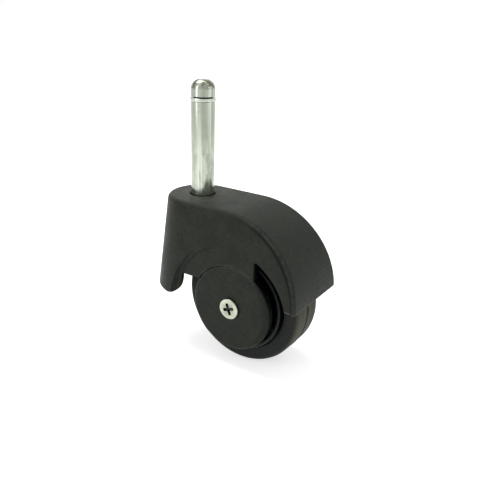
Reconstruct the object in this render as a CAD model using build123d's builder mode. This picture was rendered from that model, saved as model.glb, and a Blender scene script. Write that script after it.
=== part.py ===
# Swivel stem castor: a drafted plastic hood turns on a plated steel stem and carries one tyred wheel.
# Sizes are millimetres. The origin is where the stem's axis meets the hood's flat top.
# +X is the way the wheel trails, +Y runs along the axle and +Z points up the stem.
import os
from math import radians, sqrt, tan

from build123d import *

os.makedirs("parts", exist_ok=True)

# Layout
wheel_diameter = 44.0
wheel_trail = 21.5
hood_top_height = 54.4
axle_drop = hood_top_height - wheel_diameter / 2

# Stem
stem_diameter = 8.0
stem_rise = 38.0
nose_length = 2.7
nose_flat_diameter = 3.4
nose_bulge = 0.55
groove_setback = 5.2
groove_height = 1.7
groove_depth = 0.9
neck_diameter = 7.4
spindle_diameter = 6.0
spindle_tip = 1.6
spindle_chamfer = 0.5
running_play = 0.05
end_play = 0.05

# Grip ring in the stem's groove
ring_proud = 0.25
ring_edge_radius = 0.3
ring_gap = 1.2
ring_gap_angle = 150.0
ring_side_play = 0.05
ring_top_gap = 0.45
ring_back_play = 0.1

# Hood shell
hood_front_radius = 11.8
draft_angle = 6.55
crown_start = 18.2
crown_radius = 27.6
rear_rise = 4.9
skirt_overhang = 1.4
shell_thickness = 1.8
side_thickness = 2.6
lining_start = 5.0
top_edge_radius = 1.8
skirt_edge_radius = 1.0
rear_edge_radius = 0.5

# Hood sides: the flat panel, the leg disc and the openings beside it
panel_half_width = 13.5
panel_thickness = 2.75
panel_slope = 35.0
panel_arc_radius = 22.5
panel_rim = 1.5
leg_disc_radius = 14.8
leg_disc_sink = 0.15
leg_disc_edge_radius = 0.7
arch_radius = 21.0
neck_rear = 8.7
neck_corner_radius = 0.8
slot_front = 1.4
slot_rise = 7.4
slot_corner_radius = 0.9
leg_corner_radius = 6.6

# Hood inside
boss_diameter = 13.6
boss_clearance = 1.55
rib_thickness = 1.6
rib_setback = 2.5
rib_count = 5
axle_boss_diameter = 10.0

# Swivel bush, washer and clip
hood_hole_diameter = 8.7
hood_hole_chamfer = 0.3
bush_drop = 3.0
bush_flange_thickness = 1.0
bush_flange_play = 0.1
bush_wall = 0.7
bush_setback = 0.3
washer_thickness = 0.8
washer_diameter = 11.0
clip_thickness = 0.7
clip_diameter = 9.6
clip_groove_depth = 0.7
clip_opening = 3.8
clip_opening_angle = 90.0
clip_corner_radius = 0.3

# Wheel
tyre_width = 14.0
tyre_thickness = 5.7
tyre_shoulder_radius = 1.7
seam_width = 0.4
seam_proud = 0.1
bead_height = 0.7
bead_setback = 1.6
key_height = 1.1
key_width = 3.6
band_thickness = 1.2
band_width = 17.8
band_edge_radius = 0.3
web_thickness = 2.4
hub_diameter = 11.2
hub_length = 18.4
spoke_count = 6
spoke_thickness = 1.6
spoke_setback = 2.6
spoke_angle = 30.0

# Axle barrel, screw and side washers
axle_diameter = 6.0
head_diameter = 7.1
head_height = 0.9
head_edge_radius = 0.25
screw_diameter = 4.0
screw_hole_play = 0.1
screw_length = 13.0
screw_tip_chamfer = 0.6
thread_play = 0.05
thread_runout = 1.0
side_washer_thickness = 0.4
side_washer_diameter = 9.6
side_play = 0.2
near_web = 1.2
cross_width = 1.1
cross_length = 4.3
cross_depth = 0.7
cross_angle = 20.0
head_slot_width = 1.1
head_slot_depth = 0.5

# Places worked out from the sizes above
wheel_radius = wheel_diameter / 2
slot_drop = axle_drop - slot_rise
skirt_drop = axle_drop + skirt_overhang
rear_drop = axle_drop - rear_rise
boss_reach = wheel_trail - boss_diameter / 2
boss_drop = axle_drop - sqrt((wheel_radius + boss_clearance) ** 2 - boss_reach ** 2)
stem_radius = stem_diameter / 2
spindle_radius = spindle_diameter / 2
axle_radius = axle_diameter / 2
bore_radius = axle_radius + running_play
draft = tan(radians(draft_angle))
prism_depth = axle_drop + leg_disc_radius + shell_thickness
widest = hood_front_radius + prism_depth * draft
front_reach = widest + shell_thickness
rear_reach = crown_start + crown_radius + shell_thickness
disc_half_width = panel_half_width - leg_disc_sink
inner_half_width = panel_half_width - panel_thickness
boss_half_width = hub_length / 2 + side_play + side_washer_thickness
bush_radius = spindle_radius + running_play + bush_wall
washer_top = boss_drop + end_play
clip_top = washer_top + washer_thickness + end_play
spindle_drop = clip_top + clip_thickness + end_play + spindle_tip
bush_floor = bush_drop + end_play + bush_flange_thickness
hub_radius = hub_diameter / 2
web_face = disc_half_width - near_web
seat_radius = wheel_radius - tyre_thickness
axle_point = (wheel_trail, 0, -axle_drop)
axle_axis = Axis(axle_point, (0, 1, 0))
wheel_section = Plane(origin=axle_point, x_dir=(1, 0, 0), z_dir=(0, 0, 1))


def side_view(half_width):
    # Sketch plane square to the axle, centred on it and facing the screw's side
    return Plane(origin=(wheel_trail, -half_width, -axle_drop), x_dir=(1, 0, 0), z_dir=(0, -1, 0))


def hood_prism(front_radius, top):
    # Drafted plan of the hood: a full-round nose with sides tangent to it, wider towards the floor
    with BuildPart() as prism:
        with BuildSketch(Plane.XY.offset(-top)):
            with BuildLine():
                sides = Polyline(
                    (0, front_radius), (rear_reach, front_radius),
                    (rear_reach, -front_radius), (0, -front_radius),
                )
                ThreePointArc(sides @ 1, (-front_radius, 0), sides @ 0)
            make_face()
        extrude(amount=prism_depth - top, dir=(0, 0, -1), taper=-draft_angle)
    return prism.part


def crown_outline(inset):
    # Flat top running into the rear arc, closed far below the axle
    radius = crown_radius - inset
    with BuildSketch(Plane.XZ) as outline:
        with BuildLine():
            arc = CenterArc((crown_start, -crown_radius), radius, 0, 90)
            Polyline(
                arc @ 1, (-front_reach, -inset), (-front_reach, -prism_depth),
                (crown_start + radius, -prism_depth), arc @ 0,
            )
        make_face()
    return outline.sketch


# Stem: rod, grip-ring groove, neck on the bush flange and spindle down to the clip
with BuildPart() as stem:
    with BuildSketch(Plane.XZ):
        with BuildLine():
            nose_start = (stem_radius, stem_rise - nose_length)
            nose_end = (nose_flat_diameter / 2, stem_rise)
            SagittaArc(nose_start, nose_end, -nose_bulge)
            Polyline(
                nose_start, (stem_radius, 0), (neck_diameter / 2, 0), (neck_diameter / 2, -bush_drop),
                (spindle_radius, -bush_drop), (spindle_radius, -spindle_drop), (0, -spindle_drop),
                (0, stem_rise), nose_end,
            )
        make_face()
    revolve(axis=Axis.Z)
    tip_edge = stem.edges().filter_by(GeomType.CIRCLE).sort_by(Axis.Z)[0]
    chamfer(tip_edge, spindle_chamfer)
    with BuildSketch(Plane.XY.offset(stem_rise - groove_setback)):
        Circle(stem_diameter)
        Circle(stem_radius - groove_depth, mode=Mode.SUBTRACT)
    extrude(amount=-groove_height, mode=Mode.SUBTRACT)
    with BuildSketch(Plane.XY.offset(-clip_top + end_play)):
        Circle(stem_diameter)
        Circle(spindle_radius - clip_groove_depth, mode=Mode.SUBTRACT)
    extrude(amount=-clip_thickness - 2 * end_play, mode=Mode.SUBTRACT)

stem.part.label = "stem"
export_step(stem.part, "parts/stem.step")

# Grip ring: a split ring that snaps into the stem's groove
with BuildPart() as grip_ring:
    with BuildSketch(Plane.XY.offset(stem_rise - groove_setback - ring_top_gap)):
        Circle(stem_radius + ring_proud)
        Circle(stem_radius - groove_depth + ring_back_play, mode=Mode.SUBTRACT)
        with PolarLocations(0, 1, start_angle=ring_gap_angle):
            Rectangle(stem_diameter, ring_gap, align=(Align.MIN, Align.CENTER), mode=Mode.SUBTRACT)
    extrude(amount=ring_top_gap + ring_side_play - groove_height)
    outer_face = grip_ring.faces().filter_by(GeomType.CYLINDER).sort_by(SortBy.AREA)[-1]
    fillet(outer_face.edges().filter_by(GeomType.CIRCLE), ring_edge_radius)

grip_ring.part.label = "grip_ring"
export_step(grip_ring.part, "parts/grip_ring.step")

# Stem washer: carries the hood's boss when the castor is lifted
with BuildPart() as stem_washer:
    with BuildSketch(Plane.XY.offset(-washer_top)):
        Circle(washer_diameter / 2)
        Circle(spindle_radius + running_play, mode=Mode.SUBTRACT)
    extrude(amount=-washer_thickness)

stem_washer.part.label = "stem_washer"
export_step(stem_washer.part, "parts/stem_washer.step")

# Stem clip: an open retaining clip pushed into the spindle's groove
with BuildPart() as stem_clip:
    with BuildSketch(Plane.XY.offset(-clip_top)):
        Circle(clip_diameter / 2)
        Circle(spindle_radius - clip_groove_depth + end_play, mode=Mode.SUBTRACT)
        with PolarLocations(0, 1, start_angle=clip_opening_angle):
            Rectangle(clip_diameter, clip_opening, align=(Align.MIN, Align.CENTER), mode=Mode.SUBTRACT)
    extrude(amount=-clip_thickness)
    fillet(stem_clip.edges().filter_by(Axis.Z), clip_corner_radius)

stem_clip.part.label = "stem_clip"
export_step(stem_clip.part, "parts/stem_clip.step")

# Swivel bush: flanged sleeve pressed into the hood's boss
with BuildPart() as swivel_bush:
    with BuildSketch(Plane.XY.offset(-bush_drop - end_play)):
        Circle(hood_hole_diameter / 2 - bush_flange_play)
    extrude(amount=-bush_flange_thickness)
    with BuildSketch(Plane.XY.offset(-bush_drop - end_play)):
        Circle(bush_radius)
    extrude(amount=-boss_drop + bush_setback + bush_drop + end_play)
    Hole(spindle_radius + running_play)

swivel_bush.part.label = "swivel_bush"
export_step(swivel_bush.part, "parts/swivel_bush.step")

# Hollow of the hood, kept apart because the ribs end on its walls
with BuildPart() as hollow:
    add(hood_prism(hood_front_radius - side_thickness + shell_thickness * draft, shell_thickness))
    extrude(crown_outline(shell_thickness), amount=widest, both=True, mode=Mode.INTERSECT)
    with BuildSketch():
        Rectangle(2 * rear_reach, 2 * inner_half_width)
        with Locations((lining_start, 0)):
            Rectangle(2 * front_reach, 2 * widest, align=(Align.MAX, Align.CENTER))
    extrude(amount=-prism_depth, mode=Mode.INTERSECT)

# Boss and ribs under the roof
with BuildPart() as stem_boss:
    with BuildSketch(Plane.XY.offset(-shell_thickness)):
        with PolarLocations(0, rib_count, start_angle=90, angular_range=180, endpoint=True):
            Rectangle(widest, rib_thickness, align=(Align.MIN, Align.CENTER))
    extrude(amount=shell_thickness + rib_setback - boss_drop)
    with BuildSketch(Plane.XY.offset(-shell_thickness)):
        Circle(boss_diameter / 2)
    extrude(amount=shell_thickness - boss_drop)
    add(hollow.part, mode=Mode.INTERSECT)

# Material outside the two flat side panels, with sloping edges
with BuildPart() as panel_cut:
    with BuildSketch(Plane.XZ.offset(panel_half_width)):
        with BuildLine():
            rim_radius = crown_radius - panel_rim
            rim = CenterArc((crown_start, -crown_radius), rim_radius, 0, 90)
            Polyline(
                rim @ 1, (crown_start, -prism_depth), (crown_start + rim_radius, -prism_depth), rim @ 0,
            )
        make_face()
        with Locations((wheel_trail, -axle_drop)):
            Circle(panel_arc_radius)
    extrude(amount=widest - panel_half_width, taper=-panel_slope)
    mirror(about=Plane.XZ)

# Outline of the hood seen along the axle: front skirt, slot, leg disc, crescent opening and rear edge
with BuildSketch(Plane.XZ) as crescent:
    with Locations((wheel_trail, -axle_drop)):
        Circle(arch_radius)
        with Locations((neck_rear, 0)):
            Rectangle(2 * arch_radius, 2 * arch_radius, align=(Align.MAX, Align.CENTER), mode=Mode.SUBTRACT)
    neck_corner = crescent.vertices().sort_by(Axis.Y)[-1]
    fillet(neck_corner, neck_corner_radius)

with BuildSketch(Plane.XZ) as side_outline:
    with BuildLine():
        Polyline(
            (-front_reach, 0), (-front_reach, -skirt_drop), (slot_front, -skirt_drop),
            (slot_front, -slot_drop), (wheel_trail, -slot_drop), (wheel_trail, -rear_drop),
            (rear_reach, -rear_drop), (rear_reach, 0),
            close=True,
        )
    make_face()
    leg_corner = side_outline.vertices().group_by(Axis.Y)[0].sort_by(Axis.X)[-1]
    fillet(leg_corner, leg_corner_radius)
    slot_corner = side_outline.vertices().sort_by_distance((slot_front, -slot_drop, 0))[0]
    fillet(slot_corner, slot_corner_radius)
    add(crescent.sketch, mode=Mode.SUBTRACT)

# Leg discs: round-edged faces of the legs, each with a boss inside for the axle
with BuildPart() as leg_discs:
    with BuildSketch(side_view(inner_half_width)):
        Circle(leg_disc_radius)
    extrude(amount=disc_half_width - inner_half_width)
    outer_edge = leg_discs.edges().filter_by(GeomType.CIRCLE).sort_by(Axis.Y)[0]
    fillet(outer_edge, leg_disc_edge_radius)
    with BuildSketch(side_view(boss_half_width)):
        Circle(axle_boss_diameter / 2)
    extrude(amount=inner_half_width - boss_half_width)
    mirror(about=Plane.XZ)

# Hood: one moulding with both legs
with BuildPart() as hood:
    add(hood_prism(hood_front_radius, 0))
    extrude(crown_outline(0), amount=widest, both=True, mode=Mode.INTERSECT)
    top_face = hood.faces().sort_by(Axis.Z)[-1]
    crown_face = hood.faces().filter_by(GeomType.CYLINDER).sort_by(Axis.X)[-1]
    crown_sides = crown_face.edges().filter_by(lambda edge: abs(edge.center().Y) > stem_radius)
    roof_edges = top_face.edges() + crown_sides
    fillet(roof_edges.filter_by(Axis.Y, reverse=True), top_edge_radius)

    # Cut to the side outline and round the outer edges of the skirt and the rear
    extrude(side_outline.sketch, amount=widest, both=True, mode=Mode.INTERSECT)
    skirt_face = hood.faces().filter_by(Axis.Z).sort_by_distance((0, 0, -skirt_drop))[0]
    fillet(skirt_face.edges().filter_by(GeomType.LINE, reverse=True), skirt_edge_radius)
    rear_face = hood.faces().filter_by(Axis.Z).sort_by_distance((rear_reach, 0, -rear_drop))[0]
    fillet(rear_face.edges().sort_by(Axis.X)[1:], rear_edge_radius)

    # Sink the side panels, hollow the inside and add the stem's boss
    add(panel_cut.part, mode=Mode.SUBTRACT)
    add(hollow.part, mode=Mode.SUBTRACT)
    add(stem_boss.part)

    # Set the leg discs into the sides
    with BuildSketch(side_view(0)):
        Circle(leg_disc_radius)
    extrude(amount=widest, both=True, mode=Mode.SUBTRACT)
    add(leg_discs.part)

    # Hole for the bush, socket for the axle barrel and hole for its screw
    with BuildSketch():
        Circle(hood_hole_diameter / 2)
    extrude(amount=-bush_floor, mode=Mode.SUBTRACT)
    top_circles = hood.edges().filter_by(GeomType.CIRCLE).filter_by_position(Axis.Z, 0, 0)
    chamfer(top_circles.sort_by(SortBy.LENGTH)[0], hood_hole_chamfer)
    with BuildSketch():
        Circle(bush_radius)
    extrude(amount=-boss_drop, mode=Mode.SUBTRACT)
    with BuildSketch(side_view(web_face)):
        Circle(axle_radius)
    extrude(amount=-web_face - widest, mode=Mode.SUBTRACT)
    with BuildSketch(side_view(web_face)):
        Circle(screw_diameter / 2 + screw_hole_play)
    extrude(amount=widest, mode=Mode.SUBTRACT)

hood.part.label = "hood"
export_step(hood.part, "parts/hood.step")

# Axle barrel: headed sleeve through the far leg and the hub into the near leg's socket
with BuildPart() as axle_barrel:
    with BuildSketch(side_view(web_face)):
        Circle(axle_radius)
    extrude(amount=-web_face - disc_half_width)
    with BuildSketch(side_view(-disc_half_width)):
        Circle(head_diameter / 2)
    extrude(amount=-head_height)
    head_edge = axle_barrel.edges().filter_by(GeomType.CIRCLE).sort_by(Axis.Y)[-1]
    fillet(head_edge, head_edge_radius)
    with BuildSketch(side_view(-disc_half_width - head_height)):
        Rectangle(head_diameter, head_slot_width)
    extrude(amount=head_slot_depth, mode=Mode.SUBTRACT)
    with BuildSketch(side_view(web_face)):
        Circle(screw_diameter / 2 + thread_play)
    extrude(amount=near_web - screw_length - thread_runout, mode=Mode.SUBTRACT)

axle_barrel.part.label = "axle_barrel"
export_step(axle_barrel.part, "parts/axle_barrel.step")

# Axle screw: cross-recessed screw that closes the barrel from the near side
with BuildPart() as axle_screw:
    with BuildSketch(side_view(disc_half_width)):
        Circle(screw_diameter / 2)
    extrude(amount=-screw_length)
    tip_edge = axle_screw.edges().filter_by(GeomType.CIRCLE).sort_by(Axis.Y)[-1]
    chamfer(tip_edge, screw_tip_chamfer)
    with BuildSketch(side_view(disc_half_width)):
        Circle(head_diameter / 2)
    extrude(amount=head_height)
    head_edge = axle_screw.edges().filter_by(GeomType.CIRCLE).sort_by(Axis.Y)[0]
    fillet(head_edge, head_edge_radius)
    with BuildSketch(side_view(disc_half_width + head_height)):
        with PolarLocations(0, 2, start_angle=cross_angle, angular_range=180):
            SlotOverall(cross_length, cross_width)
    extrude(amount=-cross_depth, mode=Mode.SUBTRACT)

axle_screw.part.label = "axle_screw"
export_step(axle_screw.part, "parts/axle_screw.step")

# Side washers: thin rings between the hub's ends and the legs' bosses
with BuildPart() as near_washer:
    with BuildSketch(side_view(boss_half_width)):
        Circle(side_washer_diameter / 2)
        Circle(bore_radius, mode=Mode.SUBTRACT)
    extrude(amount=-side_washer_thickness)

near_washer.part.label = "near_washer"
export_step(near_washer.part, "parts/near_washer.step")

with BuildPart() as far_washer:
    mirror(near_washer.part, about=Plane.XZ)

far_washer.part.label = "far_washer"
export_step(far_washer.part, "parts/far_washer.step")

# Wheel rim: hub, web, spokes and the band that carries the tyre
with BuildPart() as wheel_rim:
    with BuildSketch(wheel_section) as rim_section:
        band_radius = seat_radius - band_thickness
        with Locations((band_radius, 0)):
            Rectangle(band_thickness, band_width, align=(Align.MIN, Align.CENTER))
        fillet(rim_section.vertices(), band_edge_radius)
        with Locations((bore_radius, 0)):
            Rectangle(hub_radius - bore_radius, hub_length, align=(Align.MIN, Align.CENTER))
            Rectangle(seat_radius - bore_radius, web_thickness, align=(Align.MIN, Align.CENTER))
        with Locations((band_radius, 0)):
            Rectangle(band_thickness + key_height, key_width, align=(Align.MIN, Align.CENTER))
    revolve(axis=axle_axis)
    with BuildSketch(side_view(0)):
        with PolarLocations((hub_radius + band_radius) / 2, spoke_count, start_angle=spoke_angle):
            Rectangle(band_radius - hub_radius + band_thickness, spoke_thickness)
    extrude(amount=band_width / 2 - spoke_setback, both=True)

wheel_rim.part.label = "wheel_rim"
export_step(wheel_rim.part, "parts/wheel_rim.step")

# Tyre: moulded ring keyed onto the band
with BuildPart() as tyre:
    with BuildSketch(wheel_section) as tyre_section:
        tread_radius = wheel_radius - seam_proud
        with Locations((seat_radius, 0)):
            Rectangle(tread_radius - seat_radius, tyre_width, align=(Align.MIN, Align.CENTER))
        fillet(tyre_section.vertices().group_by(Axis.X)[-1], tyre_shoulder_radius)
        with Locations((seat_radius, tyre_width / 2), (seat_radius, -tyre_width / 2)):
            Rectangle(2 * bead_height, 2 * bead_setback, mode=Mode.SUBTRACT)
        with Locations((seat_radius, 0)):
            Rectangle(2 * key_height, key_width, mode=Mode.SUBTRACT)
        with Locations((tread_radius, 0)):
            Rectangle(2 * seam_proud, seam_width)
    revolve(axis=axle_axis)

tyre.part.label = "tyre"
export_step(tyre.part, "parts/tyre.step")
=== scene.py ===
from math import cos, radians, sin

import bmesh
import bpy
from mathutils import Matrix, Vector


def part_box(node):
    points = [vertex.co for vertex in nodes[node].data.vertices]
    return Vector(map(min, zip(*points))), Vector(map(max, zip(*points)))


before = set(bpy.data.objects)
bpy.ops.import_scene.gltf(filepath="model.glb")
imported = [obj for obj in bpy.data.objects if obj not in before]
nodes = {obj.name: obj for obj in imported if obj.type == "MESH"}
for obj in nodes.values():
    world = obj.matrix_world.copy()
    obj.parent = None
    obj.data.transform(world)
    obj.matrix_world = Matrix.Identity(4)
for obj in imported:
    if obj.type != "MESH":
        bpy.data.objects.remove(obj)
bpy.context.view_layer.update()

scene = bpy.context.scene
print("frame loaded:", len(nodes), "nodes")

# Places that the materials and lamps need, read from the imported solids, in metres
hoodLow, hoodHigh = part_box("hood")
tyreLow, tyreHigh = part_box("tyre")
ringLow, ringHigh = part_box("grip_ring")
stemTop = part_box("stem")[1].z
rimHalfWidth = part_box("wheel_rim")[1].y
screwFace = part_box("axle_screw")[0].y
axle = (tyreLow + tyreHigh) / 2
ring = (ringLow + ringHigh) / 2
tyreRadius = (tyreHigh.z - tyreLow.z) / 2

# Sizes of the solids that no box gives, in metres
crownRadius = 0.0276
panelRim = 0.0015
panelHalfWidth = 0.0135
sideStart = 0.0112
discRadius = 0.0148
discEdgeStart = 0.0126
archRadius = 0.021
rearRise = 0.0049
headRadius = 0.00355
bandRadius = 0.0163
stemRadius = 0.004
noseLength = 0.0027
panelRadius = crownRadius - panelRim
crownCentre = Vector((hoodHigh.x - crownRadius, 0, hoodHigh.z - crownRadius))
hoodTop = Vector((0, 0, hoodHigh.z))


# Helpers for node trees
def newGroup(name, inputs, outputs):
    group = bpy.data.node_groups.new(name, "ShaderNodeTree")
    for label, kind, value in inputs:
        socket = group.interface.new_socket(label, in_out="INPUT", socket_type=kind)
        socket.default_value = value
    for label, kind in outputs:
        group.interface.new_socket(label, in_out="OUTPUT", socket_type=kind)
    return group, group.nodes.new("NodeGroupInput").outputs, group.nodes.new("NodeGroupOutput").inputs


def setInputs(tree, node, inputs):
    for key, value in inputs.items():
        if isinstance(value, bpy.types.NodeSocket):
            tree.links.new(value, node.inputs[key])
        else:
            node.inputs[key].default_value = value


def addNode(tree, kind, inputs=(), **settings):
    node = tree.nodes.new(kind)
    for key, value in settings.items():
        setattr(node, key, value)
    setInputs(tree, node, dict(inputs))
    return node


# Inputs 6 and 7 of a colour Mix node are its two colours, and output 2 is the mixed one
def mixColours(tree, factor, first, second):
    node = addNode(tree, "ShaderNodeMix", data_type="RGBA")
    setInputs(tree, node, {0: factor, 6: first, 7: second})
    return node.outputs[2]


def maths(tree, operation, first, second=0.0, third=0.0):
    return addNode(tree, "ShaderNodeMath", {0: first, 1: second, 2: third}, operation=operation).outputs[0]


def product(tree, value, *others):
    for other in others:
        value = maths(tree, "MULTIPLY", value, other)
    return value


def greatest(tree, value, *others):
    for other in others:
        value = maths(tree, "MAXIMUM", value, other)
    return value


def vectorMaths(tree, operation, first, second=(0, 0, 0)):
    return addNode(tree, "ShaderNodeVectorMath", {0: first, 1: second}, operation=operation).outputs[0]


def ramp(tree, value, span, toStart=0.0, toEnd=1.0):
    ends = {"From Min": span[0], "From Max": span[1], "To Min": toStart, "To Max": toEnd}
    return addNode(tree, "ShaderNodeMapRange", {"Value": value, **ends}).outputs[0]


# The span of a ramp is (start, end) and of a line (start, end, softness), here counted from a base.
# A falling ramp goes from one to nothing.
falling = (1.0, 0.0)


def rampAt(tree, value, base, span, toStart=0.0, toEnd=1.0):
    return ramp(tree, value, (base + span[0], base + span[1]), toStart, toEnd)


def lineAt(tree, value, base, span):
    start, end, soft = span
    rise = rampAt(tree, value, base, (start - soft, start))
    return product(tree, rise, rampAt(tree, value, base, (end, end + soft), *falling))


def noise(tree, vector, scale, detail=3.0, roughness=0.6, stretch=None):
    if stretch:
        vector = vectorMaths(tree, "MULTIPLY", vector, stretch)
    settings = {"Vector": vector, "Scale": scale, "Detail": detail, "Roughness": roughness}
    return addNode(tree, "ShaderNodeTexNoise", settings).outputs["Fac"]


def useGroup(tree, group, inputs):
    node = addNode(tree, "ShaderNodeGroup", node_tree=group)
    setInputs(tree, node, inputs)
    return node.outputs


def newMaterial(name, settings):
    material = bpy.data.materials.new(name)
    material.use_nodes = True
    tree = material.node_tree
    shader = tree.nodes["Principled BSDF"]
    setInputs(tree, shader, settings)
    return material, tree, shader, addNode(tree, "ShaderNodeTexCoord").outputs["Object"]


# A material whose colour, roughness and bumps come from one of the two shared skins below
def skinnedMaterial(name, group, look):
    material, tree, shader, place = newMaterial(name, look["shader"])
    skin = useGroup(tree, group, {"Vector": place, **look["skin"]})
    bump = addNode(tree, "ShaderNodeBump", {"Height": skin["Height"], "Distance": look["bump"]})
    sockets = {"Base Color": skin["Colour"], "Roughness": skin["Roughness"], "Normal": bump.outputs[0]}
    setInputs(tree, shader, sockets)
    return material, tree, shader, place, skin


def dress(material, *names):
    for name in names:
        nodes[name].data.materials.clear()
        nodes[name].data.materials.append(material)


# Shared effect: how far a point is from an axis, and its place from the axis's middle
roundAxis, roundIn, roundOut = newGroup(
    "roundAxis",
    [
        ("Vector", "NodeSocketVector", (0, 0, 0)),
        ("Centre", "NodeSocketVector", (0, 0, 0)),
        ("Across", "NodeSocketVector", (1, 0, 1)),
    ],
    [
        ("Radius", "NodeSocketFloat"),
        ("Along", "NodeSocketFloat"),
        ("Side", "NodeSocketFloat"),
        ("Height", "NodeSocketFloat"),
    ],
)
fromCentre = vectorMaths(roundAxis, "SUBTRACT", roundIn["Vector"], roundIn["Centre"])
flat = vectorMaths(roundAxis, "MULTIPLY", fromCentre, roundIn["Across"])
length = addNode(roundAxis, "ShaderNodeVectorMath", {0: flat}, operation="LENGTH").outputs["Value"]
axes = addNode(roundAxis, "ShaderNodeSeparateXYZ", {0: fromCentre}).outputs
roundAxis.links.new(length, roundOut["Radius"])
roundAxis.links.new(axes["X"], roundOut["Along"])
roundAxis.links.new(maths(roundAxis, "ABSOLUTE", axes["Y"]), roundOut["Side"])
roundAxis.links.new(axes["Z"], roundOut["Height"])

# Shared effect: moulded plastic or rubber with cloudy patches, fine grain and thin scuffs
skinShape = {
    "cloudNoise": {"detail": 6.0, "roughness": 0.62},
    "grainNoise": {"detail": 2.0},
    "scuffNoise": {"detail": 4.0, "roughness": 0.75, "stretch": (1.0, 1.0, 3.5)},
    "cloudRamp": (0.40, 0.64),
    "cloudShare": 0.5,
    "grainRamp": (0.3, 0.7),
    "grainShare": 0.5,
    "scuffRamp": (0.66, 0.76),
    "glossRamp": (0.35, 0.7),
    "scuffRoughness": 0.2,
}
mouldSkin, skinIn, skinOut = newGroup(
    "mouldSkin",
    [
        ("Vector", "NodeSocketVector", (0, 0, 0)),
        ("Colour", "NodeSocketColor", (0.04, 0.04, 0.04, 1)),
        ("Cloud colour", "NodeSocketColor", (0.07, 0.07, 0.07, 1)),
        ("Scuff colour", "NodeSocketColor", (0.2, 0.2, 0.2, 1)),
        ("Cloud scale", "NodeSocketFloat", 90.0),
        ("Grain scale", "NodeSocketFloat", 5200.0),
        ("Scuff scale", "NodeSocketFloat", 300.0),
        ("Scuff amount", "NodeSocketFloat", 0.3),
        ("Smooth roughness", "NodeSocketFloat", 0.42),
        ("Rough roughness", "NodeSocketFloat", 0.6),
    ],
    [("Colour", "NodeSocketColor"), ("Roughness", "NodeSocketFloat"), ("Height", "NodeSocketFloat")],
)
cloud = noise(mouldSkin, skinIn["Vector"], skinIn["Cloud scale"], **skinShape["cloudNoise"])
grain = noise(mouldSkin, skinIn["Vector"], skinIn["Grain scale"], **skinShape["grainNoise"])
scuff = noise(mouldSkin, skinIn["Vector"], skinIn["Scuff scale"], **skinShape["scuffNoise"])
grainMask = ramp(mouldSkin, grain, skinShape["grainRamp"])
clouds = ramp(mouldSkin, cloud, skinShape["cloudRamp"], 0.0, skinShape["cloudShare"])
cloudMask = maths(mouldSkin, "MULTIPLY_ADD", grainMask, skinShape["grainShare"], clouds)
scuffs = ramp(mouldSkin, scuff, skinShape["scuffRamp"])
scuffMask = product(mouldSkin, scuffs, skinIn["Scuff amount"])
clouded = mixColours(mouldSkin, cloudMask, skinIn["Colour"], skinIn["Cloud colour"])
skinEnds = (skinIn["Smooth roughness"], skinIn["Rough roughness"])
skinGloss = ramp(mouldSkin, cloud, skinShape["glossRamp"], *skinEnds)
scuffGloss = maths(mouldSkin, "MULTIPLY_ADD", scuffMask, skinShape["scuffRoughness"], skinGloss)
mouldSkin.links.new(mixColours(mouldSkin, scuffMask, clouded, skinIn["Scuff colour"]), skinOut["Colour"])
mouldSkin.links.new(scuffGloss, skinOut["Roughness"])
mouldSkin.links.new(grainMask, skinOut["Height"])

# Shared effect: bright plating with dull clouds, fine drawn lines and small pits, and bright bands along
# it that are painted reflections
plateShape = {
    "cloudNoise": {"detail": 6.0},
    "lineNoise": {"detail": 3.0, "roughness": 0.7},
    "bandNoise": {"detail": 1.5, "roughness": 0.5},
    "pitNoise": {"detail": 2.0},
    "cloudRamp": (0.35, 0.68),
    "cloudShare": 0.6,
    "lineRamp": (0.3, 0.7),
    "lineShare": 0.35,
    "bandRamp": (0.54, 0.66),
    "pitRamp": (0.7, 0.78),
    "glossRamp": (0.3, 0.7),
}
plating, plateIn, plateOut = newGroup(
    "plating",
    [
        ("Vector", "NodeSocketVector", (0, 0, 0)),
        ("Colour", "NodeSocketColor", (0.7, 0.7, 0.68, 1)),
        ("Dull colour", "NodeSocketColor", (0.5, 0.5, 0.48, 1)),
        ("Pit colour", "NodeSocketColor", (0.2, 0.2, 0.18, 1)),
        ("Reflection band colour", "NodeSocketColor", (0.7, 0.7, 0.68, 1)),
        ("Reflection band amount", "NodeSocketFloat", 0.0),
        ("Reflection band scale", "NodeSocketFloat", 500.0),
        ("Cloud scale", "NodeSocketFloat", 260.0),
        ("Line scale", "NodeSocketFloat", 4000.0),
        ("Pit scale", "NodeSocketFloat", 1500.0),
        ("Line stretch", "NodeSocketVector", (1.0, 1.0, 1.0)),
        ("Bright roughness", "NodeSocketFloat", 0.18),
        ("Dull roughness", "NodeSocketFloat", 0.42),
    ],
    [("Colour", "NodeSocketColor"), ("Roughness", "NodeSocketFloat"), ("Height", "NodeSocketFloat")],
)
bloom = noise(plating, plateIn["Vector"], plateIn["Cloud scale"], **plateShape["cloudNoise"])
drawn = vectorMaths(plating, "MULTIPLY", plateIn["Vector"], plateIn["Line stretch"])
lines = noise(plating, drawn, plateIn["Line scale"], **plateShape["lineNoise"])
reflectionNoise = noise(plating, drawn, plateIn["Reflection band scale"], **plateShape["bandNoise"])
pits = noise(plating, plateIn["Vector"], plateIn["Pit scale"], **plateShape["pitNoise"])
lineMask = ramp(plating, lines, plateShape["lineRamp"])
pitMask = ramp(plating, pits, plateShape["pitRamp"])
blooms = ramp(plating, bloom, plateShape["cloudRamp"], 0.0, plateShape["cloudShare"])
bloomMask = maths(plating, "MULTIPLY_ADD", lineMask, plateShape["lineShare"], blooms)
# Bright bands along the metal are painted reflections
reflectionBandMask = product(plating, ramp(plating, reflectionNoise, plateShape["bandRamp"]), plateIn["Reflection band amount"])
bloomed = mixColours(plating, bloomMask, plateIn["Colour"], plateIn["Dull colour"])
reflectionBanded = mixColours(plating, reflectionBandMask, bloomed, plateIn["Reflection band colour"])
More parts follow.
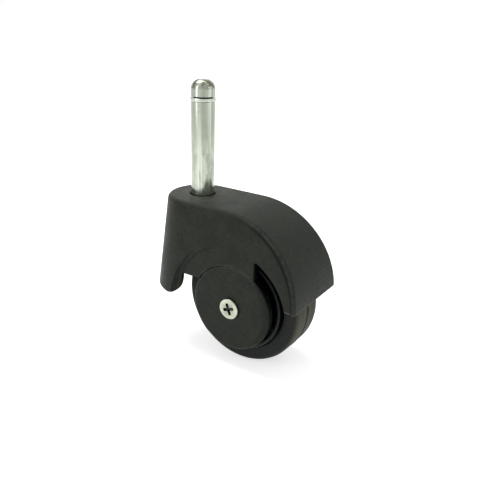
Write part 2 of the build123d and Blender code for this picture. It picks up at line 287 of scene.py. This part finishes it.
plateEnds = (plateIn["Bright roughness"], plateIn["Dull roughness"])
plateGloss = ramp(plating, bloom, plateShape["glossRamp"], *plateEnds)
plating.links.new(mixColours(plating, pitMask, reflectionBanded, plateIn["Pit colour"]), plateOut["Colour"])
plating.links.new(plateGloss, plateOut["Roughness"])
plating.links.new(maths(plating, "SUBTRACT", lineMask, pitMask), plateOut["Height"])
print("shared node groups made")

# Hood: painted highlights along its edges, broken up on the disc and the crown by rubbed wear; dusty round
# the stem; painted shade in its steps, round the screw, at the disc's rear, in an arc before the disc and
# in the wheel well
hoodLook = {
    "shader": {"Specular IOR Level": 0.07, "Specular Tint": (1.0, 0.99, 0.92, 1)},
    "skin": {
        "Colour": (0.0150, 0.0197, 0.0155, 1),
        "Cloud colour": (0.0330, 0.0356, 0.0286, 1),
        "Scuff colour": (0.090, 0.092, 0.080, 1),
        "Cloud scale": 190.0,
        "Grain scale": 1700.0,
        "Scuff scale": 620.0,
        "Scuff amount": 0.35,
        "Smooth roughness": 0.38,
        "Rough roughness": 0.55,
    },
    "bump": 0.00008,
    # where the panels, the sides, the disc's edge, the crown's arc and the roof begin
    "panelFace": (-0.0003, -0.0002),
    "sideFace": (0.0, 0.0005),
    "discFace": (0.0, 0.0003),
    "arcFade": (0.001, 0.014),
    "roofFace": (-0.0006, -0.0001),
    # painted highlights along the edges, on the disc and the crown broken up by rubbed wear
    "wornHighlightColour": (0.085, 0.090, 0.078, 1),
    "wornNoise": {"scale": 420.0, "detail": 4.0},
    "wornRamp": (0.36, 0.62),
    "wornAmount": 0.4,
    "discHighlightLine": (-0.0004, 0.0001, 0.0006),
    "crownHighlightLine": (-0.0007, -0.0004, 0.0003),
    "rearHighlightLine": (-0.0001, 0.0003, 0.0003),
    "rearHighlightStart": (-0.001, -0.0002),
    "rearHighlightFade": (0.0, 0.001),
    "rearHighlightAmount": 0.8,
    # painted shade in the panel's step, round the screw, at the disc's rear and in an arc before the disc
    "paintedShadeColour": (0.0060, 0.0072, 0.0070, 1),
    "stepLine": (-0.0001, 0.0004, 0.0004),
    "stepAmount": 0.8,
    "headLine": (-0.0003, 0.0001, 0.0003),
    "discLine": (-0.0010, 0.0002, 0.0016),
    "discFade": (0.006, 0.0125),
    "discAmount": 0.55,
    "archLine": (0.0, 0.0002, 0.0004),
    "archFade": (-0.013, 0.003),
    "archAmount": 0.5,
    # painted shade in the wheel well
    "wellShadeColour": (0.0030, 0.0034, 0.0034, 1),
    "wellRing": (0.0002, 0.0006),
    "wellDepth": (-0.0010, -0.0007),
    # dust on the roof, thickest at the stem
    "dustColour": (0.088, 0.089, 0.074, 1),
    "dustNoise": {"scale": 360.0, "detail": 5.0, "roughness": 0.65},
    "dustRamp": (0.36, 0.62),
    "dustAmounts": (0.1, 0.85),
    "dustReach": (0.0, 0.009),
    "dustFar": 0.15,
}
hoodMaterial, tree, shader, place, skin = skinnedMaterial("charcoalPlastic", mouldSkin, hoodLook)
fromAxle = useGroup(tree, roundAxis, {"Vector": place, "Centre": axle})
fromCrown = useGroup(tree, roundAxis, {"Vector": place, "Centre": crownCentre})
fromStem = useGroup(tree, roundAxis, {"Vector": place, "Centre": hoodTop, "Across": (1, 1, 0)})
panelFace = rampAt(tree, fromAxle["Side"], panelHalfWidth, hoodLook["panelFace"])
sideFace = rampAt(tree, fromAxle["Side"], sideStart, hoodLook["sideFace"])
discFace = rampAt(tree, fromAxle["Side"], discEdgeStart, hoodLook["discFace"])
arc = product(tree, sideFace, ramp(tree, fromCrown["Along"], hoodLook["arcFade"]))

wornNoise = noise(tree, place, **hoodLook["wornNoise"])
rubbing = ramp(tree, wornNoise, hoodLook["wornRamp"], 0.0, hoodLook["wornAmount"])
# Pale lines along the disc's edge, the crown's edge and the rear bottom edge are painted highlights; on
# the disc and the crown, rubbed patches break them up
discHighlightLine = lineAt(tree, fromAxle["Radius"], discRadius, hoodLook["discHighlightLine"])
crownHighlightLine = lineAt(tree, fromCrown["Radius"], crownRadius, hoodLook["crownHighlightLine"])
rearHighlightLine = lineAt(tree, fromAxle["Height"], rearRise, hoodLook["rearHighlightLine"])
rearHighlightStart = rampAt(tree, fromAxle["Radius"], archRadius, hoodLook["rearHighlightStart"])
rearHighlightFade = ramp(tree, fromAxle["Along"], hoodLook["rearHighlightFade"], 0.0, hoodLook["rearHighlightAmount"])
discWornHighlight = product(tree, discHighlightLine, discFace, rubbing)
crownWornHighlight = product(tree, crownHighlightLine, arc, rubbing)
rearHighlight = product(tree, rearHighlightLine, rearHighlightStart, rearHighlightFade)
wornHighlights = greatest(tree, discWornHighlight, rearHighlight, crownWornHighlight)

# Painted shade: dark lines in the panel's step, round the screw head and in an arc before the disc, and a
# darkening of the disc's rear edge
stepLine = lineAt(tree, fromCrown["Radius"], panelRadius, hoodLook["stepLine"])
headLine = lineAt(tree, fromAxle["Radius"], headRadius, hoodLook["headLine"])
discLine = lineAt(tree, fromAxle["Radius"], discRadius, hoodLook["discLine"])
discFade = ramp(tree, fromAxle["Along"], hoodLook["discFade"], 0.0, hoodLook["discAmount"])
archLine = lineAt(tree, fromAxle["Radius"], archRadius, hoodLook["archLine"])
archFade = ramp(tree, fromAxle["Along"], hoodLook["archFade"], hoodLook["archAmount"], 0.0)
stepShade = product(tree, stepLine, arc, hoodLook["stepAmount"])
headShadow = product(tree, headLine, panelFace)
discShade = product(tree, discLine, discFade, discFace)
archShade = product(tree, archLine, archFade, panelFace)
paintedShade = greatest(tree, stepShade, headShadow, discShade, archShade)

# Painted shade darkens the hood inside the wheel well
wellRing = rampAt(tree, fromAxle["Radius"], archRadius, hoodLook["wellRing"], *falling)
wellDepth = rampAt(tree, fromAxle["Side"], panelHalfWidth, hoodLook["wellDepth"], *falling)
wellShade = product(tree, wellRing, wellDepth)
roofFace = ramp(tree, fromStem["Height"], hoodLook["roofFace"])
nearStem = rampAt(tree, fromStem["Radius"], stemRadius, hoodLook["dustReach"], 1.0, hoodLook["dustFar"])
dustNoise = noise(tree, place, **hoodLook["dustNoise"])
dustPatches = ramp(tree, dustNoise, hoodLook["dustRamp"], *hoodLook["dustAmounts"])
dust = product(tree, roofFace, nearStem, dustPatches)

# Painted highlights on the edges
highlightedSkin = mixColours(tree, wornHighlights, skin["Colour"], hoodLook["wornHighlightColour"])
# Painted shade in the steps, round the screw and at the disc's rear
shadedSkin = mixColours(tree, paintedShade, highlightedSkin, hoodLook["paintedShadeColour"])
wellSkin = mixColours(tree, wellShade, shadedSkin, hoodLook["wellShadeColour"])
setInputs(tree, shader, {"Base Color": mixColours(tree, dust, wellSkin, hoodLook["dustColour"])})
dress(hoodMaterial, "hood")

# Tyre: its tread is painted paler than its sides, partly as wear in bands round it from rolling and partly
# as painted light, with painted shade along its mould seam
tyreLook = {
    "shader": {"Specular IOR Level": 0.08, "Specular Tint": (1.0, 1.0, 0.97, 1)},
    "skin": {
        "Colour": (0.0188, 0.0218, 0.0215, 1),
        "Cloud colour": (0.0285, 0.0305, 0.0295, 1),
        "Scuff colour": (0.075, 0.075, 0.068, 1),
        "Cloud scale": 230.0,
        "Grain scale": 1900.0,
        "Scuff scale": 700.0,
        "Scuff amount": 0.25,
        "Smooth roughness": 0.42,
        "Rough roughness": 0.58,
    },
    "bump": 0.00003,
    "treadWearAndLightColour": (0.088, 0.089, 0.066, 1),
    "treadRoughness": 0.62,
    "treadFace": (-0.0011, -0.0002),
    "bandNoise": {"scale": 900.0, "detail": 3.0, "roughness": 0.6, "stretch": (0.12, 1.0, 0.12)},
    "bandRamp": (0.3, 0.7),
    "bandAmounts": (0.35, 1.0),
    "seamShadeColour": (0.004, 0.005, 0.004, 1),
    "seamShadeEdge": (0.0003, 0.0005),
    "seamShadeAmount": 0.9,
}
tyreMaterial, tree, shader, place, skin = skinnedMaterial("blackTyre", mouldSkin, tyreLook)
fromAxle = useGroup(tree, roundAxis, {"Vector": place, "Centre": axle})
tread = rampAt(tree, fromAxle["Radius"], tyreRadius, tyreLook["treadFace"])
bandNoise = noise(tree, place, **tyreLook["bandNoise"])
bands = ramp(tree, bandNoise, tyreLook["bandRamp"], *tyreLook["bandAmounts"])
# Painted shade darkens the mould seam down the middle of the tread
seamShadeEdge = ramp(tree, fromAxle["Side"], tyreLook["seamShadeEdge"], tyreLook["seamShadeAmount"], 0.0)
treadGloss = ramp(tree, tread, (0.0, 1.0), skin["Roughness"], tyreLook["treadRoughness"])
# The paler tread is partly wear in bands from rolling and partly painted light
treadWornAndLit = mixColours(tree, product(tree, tread, bands), skin["Colour"], tyreLook["treadWearAndLightColour"])
seamShaded = mixColours(tree, product(tree, tread, seamShadeEdge), treadWornAndLit, tyreLook["seamShadeColour"])
setInputs(tree, shader, {"Base Color": seamShaded, "Roughness": treadGloss})
dress(tyreMaterial, "tyre")

# Rim: deep black, with a painted highlight on its outer lips
rimLook = {
    "shader": {"Specular IOR Level": 0.14},
    "skin": {
        "Colour": (0.0022, 0.0027, 0.0030, 1),
        "Cloud colour": (0.0045, 0.0052, 0.0055, 1),
        "Scuff colour": (0.02, 0.02, 0.02, 1),
        "Cloud scale": 140.0,
        "Grain scale": 2600.0,
        "Scuff scale": 500.0,
        "Scuff amount": 0.2,
        "Smooth roughness": 0.3,
        "Rough roughness": 0.42,
    },
    "bump": 0.00002,
    "lipHighlightColour": (0.022, 0.025, 0.025, 1),
    "lipHighlightRing": (-0.0007, -0.0004),
    "lipHighlightFace": (-0.0008, -0.0003),
}
rimMaterial, tree, shader, place, skin = skinnedMaterial("blackRim", mouldSkin, rimLook)
fromAxle = useGroup(tree, roundAxis, {"Vector": place, "Centre": axle})
# Painted highlight on the rim's outer lip
lipHighlightRing = rampAt(tree, fromAxle["Radius"], bandRadius, rimLook["lipHighlightRing"])
lipHighlight = product(tree, lipHighlightRing, rampAt(tree, fromAxle["Side"], rimHalfWidth, rimLook["lipHighlightFace"]))
setInputs(tree, shader, {"Base Color": mixColours(tree, lipHighlight, skin["Colour"], rimLook["lipHighlightColour"])})
dress(rimMaterial, "wheel_rim")

# Bush and side washers: plain nylon
nylonLook = {
    "shader": {"Specular IOR Level": 0.5},
    "skin": {
        "Colour": (0.60, 0.58, 0.52, 1),
        "Cloud colour": (0.70, 0.68, 0.62, 1),
        "Scuff colour": (0.45, 0.44, 0.40, 1),
        "Cloud scale": 200.0,
        "Grain scale": 2600.0,
        "Scuff scale": 500.0,
        "Scuff amount": 0.3,
        "Smooth roughness": 0.35,
        "Rough roughness": 0.5,
    },
    "bump": 0.00001,
}
dress(skinnedMaterial("naturalNylon", mouldSkin, nylonLook)[0], "swivel_bush", "near_washer", "far_washer")

# Stem: ground round its axis, with bright bands along it that are painted reflections, duller in its upper
# half and rubbed bright near its foot.
# Painted shade fills the grip ring's groove and lines its upper edge, and the nose is tarnished in
# patches. Heights count from the ring's middle.
stemLook = {
    "shader": {"Metallic": 1.0, "Anisotropic": 0.4, "Anisotropic Rotation": 0.25},
    "skin": {
        "Colour": (0.345, 0.38, 0.31, 1),
        "Dull colour": (0.29, 0.315, 0.26, 1),
        "Pit colour": (0.26, 0.27, 0.24, 1),
        # the bright bands are painted reflections
        "Reflection band colour": (0.78, 0.84, 0.74, 1),
        "Reflection band amount": 0.9,
        "Reflection band scale": 620.0,
        "Cloud scale": 240.0,
        "Line scale": 1500.0,
        "Pit scale": 1700.0,
        "Line stretch": (1.0, 1.0, 0.02),
        "Bright roughness": 0.12,
        "Dull roughness": 0.24,
    },
    "bump": 0.000004,
    "agedColour": (0.26, 0.285, 0.235, 1),
    "agedRamp": (-0.017, -0.006),
    "agedAmount": 0.4,
    "rubbedColour": (0.66, 0.70, 0.62, 1),
    "rubbedNoise": {"scale": 620.0, "detail": 4.0, "roughness": 0.6, "stretch": (1.0, 1.0, 0.3)},
    "rubbedRamp": (0.42, 0.6),
    "rubbedReach": (-0.019, -0.011),
    "rubbedAmount": 0.4,
    "tarnishColour": (0.13, 0.13, 0.095, 1),
    "tarnishNoise": {"scale": 430.0, "detail": 4.0},
    "tarnishRamp": (0.46, 0.53),
    "tarnishAmount": 0.9,
    "noseEdge": (-0.0003, 0.0006),
    "paintedShadeColour": (0.004, 0.005, 0.005, 1),
    "grooveDepth": (-0.00008, -0.00002),
    "grooveLine": (-0.0011, 0.0011, 0.0001),
    "lipLine": (0.00085, 0.00100, 0.00005),
}
stemMaterial, tree, shader, place, plate = skinnedMaterial("zincStem", plating, stemLook)
tangent = addNode(tree, "ShaderNodeTangent", direction_type="RADIAL", axis="Z").outputs[0]
fromRing = useGroup(tree, roundAxis, {"Vector": place, "Centre": ring, "Across": (1, 1, 0)})
aged = ramp(tree, fromRing["Height"], stemLook["agedRamp"], 0.0, stemLook["agedAmount"])
rubbedNoise = noise(tree, place, **stemLook["rubbedNoise"])
rubbedPatches = ramp(tree, rubbedNoise, stemLook["rubbedRamp"])
foot = ramp(tree, fromRing["Height"], stemLook["rubbedReach"], stemLook["rubbedAmount"], 0.0)
noseStart = stemTop - noseLength - ring.z
nose = rampAt(tree, fromRing["Height"], noseStart, stemLook["noseEdge"])
tarnishNoise = noise(tree, place, **stemLook["tarnishNoise"])
tarnishPatches = ramp(tree, tarnishNoise, stemLook["tarnishRamp"], 0.0, stemLook["tarnishAmount"])
# Painted shade in the grip ring's groove and along its upper edge
grooveDepth = rampAt(tree, fromRing["Radius"], stemRadius, stemLook["grooveDepth"], *falling)
grooveShade = product(tree, grooveDepth, lineAt(tree, fromRing["Height"], 0.0, stemLook["grooveLine"]))
paintedShade = greatest(tree, grooveShade, lineAt(tree, fromRing["Height"], 0.0, stemLook["lipLine"]))
agedSkin = mixColours(tree, aged, plate["Colour"], stemLook["agedColour"])
rubbedSkin = mixColours(tree, product(tree, foot, rubbedPatches), agedSkin, stemLook["rubbedColour"])
tarnish = product(tree, nose, tarnishPatches)
tarnishedSkin = mixColours(tree, tarnish, rubbedSkin, stemLook["tarnishColour"])
shadedSkin = mixColours(tree, paintedShade, tarnishedSkin, stemLook["paintedShadeColour"])
setInputs(tree, shader, {"Base Color": shadedSkin, "Tangent": tangent})
dress(stemMaterial, "stem")

# Grip ring and stem washer: bright plated steel
springLook = {
    "shader": {"Metallic": 1.0},
    "skin": {
        "Colour": (0.55, 0.59, 0.51, 1),
        "Dull colour": (0.42, 0.45, 0.38, 1),
        "Pit colour": (0.1, 0.1, 0.09, 1),
        "Cloud scale": 500.0,
        "Line scale": 3200.0,
        "Pit scale": 2600.0,
        "Bright roughness": 0.16,
        "Dull roughness": 0.34,
    },
    "bump": 0.000006,
}
dress(skinnedMaterial("platedSpring", plating, springLook)[0], "grip_ring", "stem_washer")

# Stem clip: dark spring steel
clipLook = {
    "shader": {"Metallic": 1.0},
    "skin": {
        "Colour": (0.16, 0.16, 0.15, 1),
        "Dull colour": (0.08, 0.08, 0.08, 1),
        "Pit colour": (0.03, 0.03, 0.03, 1),
        "Cloud scale": 500.0,
        "Line scale": 3200.0,
        "Pit scale": 2600.0,
        "Bright roughness": 0.3,
        "Dull roughness": 0.5,
    },
    "bump": 0.000006,
}
dress(skinnedMaterial("darkSpring", plating, clipLook)[0], "stem_clip")

# Axle screw and barrel: zinc plated, with painted shade in the screw's cross recess and a darker ring
# round it
screwLook = {
    "shader": {"Metallic": 1.0},
    "skin": {
        "Colour": (0.56, 0.60, 0.49, 1),
        "Dull colour": (0.31, 0.34, 0.27, 1),
        "Pit colour": (0.3, 0.3, 0.27, 1),
        "Cloud scale": 420.0,
        "Line scale": 2600.0,
        "Pit scale": 1900.0,
        "Line stretch": (1.0, 0.1, 1.0),
        "Bright roughness": 0.18,
        "Dull roughness": 0.34,
    },
    "bump": 0.000008,
    "recessShadeColour": (0.035, 0.036, 0.032, 1),
    "recessShadeDepth": (0.00005, 0.0003),
    "recessShadeReach": (0.0022, 0.0024),
    "haloColour": (0.24, 0.26, 0.21, 1),
    "haloReach": (0.0016, 0.0028),
    "haloAmount": 0.7,
}
dress(skinnedMaterial("zincBarrel", plating, screwLook)[0], "axle_barrel")
screwMaterial, tree, shader, place, plate = skinnedMaterial("zincScrew", plating, screwLook)
fromAxle = useGroup(tree, roundAxis, {"Vector": place, "Centre": axle})
across = addNode(tree, "ShaderNodeSeparateXYZ", {0: place}).outputs["Y"]
# Painted shade in the screw's cross recess
recessShadeDepth = rampAt(tree, across, screwFace, screwLook["recessShadeDepth"])
recessShadeReach = ramp(tree, fromAxle["Radius"], screwLook["recessShadeReach"], *falling)
halo = ramp(tree, fromAxle["Radius"], screwLook["haloReach"], screwLook["haloAmount"], 0.0)
haloSkin = mixColours(tree, halo, plate["Colour"], screwLook["haloColour"])
recessShade = product(tree, recessShadeDepth, recessShadeReach)
setInputs(tree, shader, {"Base Color": mixColours(tree, recessShade, haloSkin, screwLook["recessShadeColour"])})
dress(screwMaterial, "axle_screw")
print("materials made")

# Floor: pale, and lifted to white only where the camera or a reflection sees it
floorLook = {
    "size": 3.0,
    "shader": {"Specular IOR Level": 0.1, "Roughness": 0.9, "Emission Color": (1, 1, 1, 1)},
    "colour": (0.74, 0.74, 0.74, 1),
    "shadeColour": (0, 0, 0, 1),
    "toneNoise": {"scale": 6.0},
    "toneRamp": (0.3, 0.7),
    "tones": (0.98, 1.0),
    "lift": 0.6,
}
bm = bmesh.new()
bmesh.ops.create_grid(bm, x_segments=1, y_segments=1, size=floorLook["size"])
bmesh.ops.translate(bm, verts=bm.verts, vec=(0, 0, tyreLow.z))
floorMesh = bpy.data.meshes.new("floor")
bm.to_mesh(floorMesh)
bm.free()
floor = bpy.data.objects.new("floor", floorMesh)
scene.collection.objects.link(floor)
floorMaterial, tree, shader, place = newMaterial("paleFloor", floorLook["shader"])
toneNoise = noise(tree, place, **floorLook["toneNoise"])
tone = ramp(tree, toneNoise, floorLook["toneRamp"], *floorLook["tones"])
rays = addNode(tree, "ShaderNodeLightPath").outputs
seen = greatest(tree, rays["Is Camera Ray"], rays["Is Glossy Ray"])
setInputs(tree, shader, {
    "Base Color": mixColours(tree, tone, floorLook["shadeColour"], floorLook["colour"]),
    "Emission Strength": product(tree, seen, floorLook["lift"]),
})
floorMesh.materials.append(floorMaterial)

# Room light: even and soft, white where the camera or a reflection sees it
roomLook = {"colour": (1, 1, 1, 1), "plain": 0.65, "seen": 1.0}
world = bpy.data.worlds.new("paleRoom")
scene.world = world
world.use_nodes = True
tree = world.node_tree
rays = addNode(tree, "ShaderNodeLightPath").outputs
seen = greatest(tree, rays["Is Camera Ray"], rays["Is Glossy Ray"])
strength = ramp(tree, seen, (0.0, 1.0), roomLook["plain"], roomLook["seen"])
setInputs(tree, tree.nodes["Background"], {"Color": roomLook["colour"], "Strength": strength})

# Lamps: one above, a strip far to the right and a tall one to the left, all aimed at the hood
lamps = {
    "topLamp": {"at": (-0.28, 0.08, 0.68), "width": 0.45, "height": 0.45, "power": 4.1},
    "rightLamp": {"at": (0.60, 0.05, 0.20), "width": 0.06, "height": 0.5, "power": 0.15},
    "leftLamp": {"at": (-0.26, -0.57, 0.20), "width": 0.16, "height": 0.7, "power": 1.0},
}
aim = (hoodLow + hoodHigh) / 2
for name, lamp in lamps.items():
    data = bpy.data.lights.new(name, "AREA")
    data.shape = "RECTANGLE"
    data.size = lamp["width"]
    data.size_y = lamp["height"]
    data.energy = lamp["power"]
    lampObject = bpy.data.objects.new(name, data)
    lampObject.location = lamp["at"]
    lampObject.rotation_euler = (aim - lampObject.location).to_track_quat("-Z", "Y").to_euler()
    scene.collection.objects.link(lampObject)

# Camera at the photograph's angle: turned in degrees, placed in metres, lens in millimetres
shot = {
    "azimuth": 33.594,
    "elevation": 21.452,
    "roll": 1.575,
    "distance": 0.200114,
    "target": (0.015937, 0.0, -0.013738),
    "lens": 44.17,
    "sensor": 36.0,
    "clipStart": 0.01,
}
turn, tilt, roll = radians(shot["azimuth"]), radians(shot["elevation"]), radians(shot["roll"])
back = Vector((sin(turn) * cos(tilt), -cos(turn) * cos(tilt), sin(tilt)))
right = Vector((cos(turn), sin(turn), 0))
up = back.cross(right)
cameraData = bpy.data.cameras.new("photoCamera")
cameraData.lens = shot["lens"]
cameraData.sensor_width = shot["sensor"]
cameraData.clip_start = shot["clipStart"]
camera = bpy.data.objects.new("photoCamera", cameraData)
rollRight = right * cos(roll) + up * sin(roll)
rollUp = up * cos(roll) - right * sin(roll)
view = Matrix((rollRight, rollUp, back)).transposed().to_4x4()
camera.matrix_world = Matrix.Translation(Vector(shot["target"]) + back * shot["distance"]) @ view
scene.collection.objects.link(camera)
scene.camera = camera
scene.view_settings.view_transform = "Standard"
print("floor, light and camera made")
